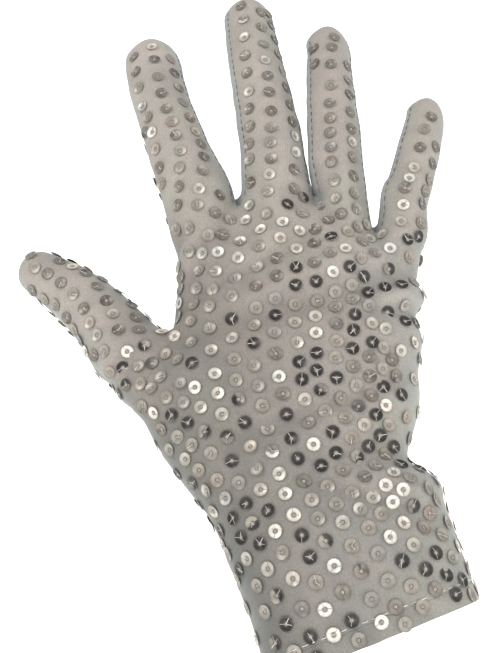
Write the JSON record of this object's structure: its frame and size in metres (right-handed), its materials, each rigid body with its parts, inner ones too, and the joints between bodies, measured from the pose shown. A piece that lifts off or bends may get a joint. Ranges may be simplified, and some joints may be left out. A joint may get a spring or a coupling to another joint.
{
  "type": "sequin glove",
  "caption": "Knitted dress glove for a right hand, hollow, with spread fingers, sewn-in thumb, side strips between the fingers and a hemmed wrist, covered with round sequins.",
  "frame": {"origin": "centre of the wrist opening, in the plane of the hem's edge", "axes": "+Z from the wrist to the fingertips, +X to the little finger's side, +Y to the palm side, so the back of the hand faces -Y"},
  "size_m": [0.1691, 0.0442, 0.2575],
  "materials": {
    "sequinned_knit": "pale grey knit sewn with silver cup sequins",
    "plain_knit": "plain pale grey stretch knit",
    "hem_knit": "turned-in double knit with one row of white stitches"
  },
  "bodies": {
    "root": {"back_panel": "sequinned_knit", "palm_panel": "sequinned_knit", "fourchette_index_middle": "plain_knit", "fourchette_middle_ring": "plain_knit", "fourchette_ring_little": "plain_knit", "thumb": "sequinned_knit", "cuff_hem": "hem_knit"}
  },
  "joints": []
}
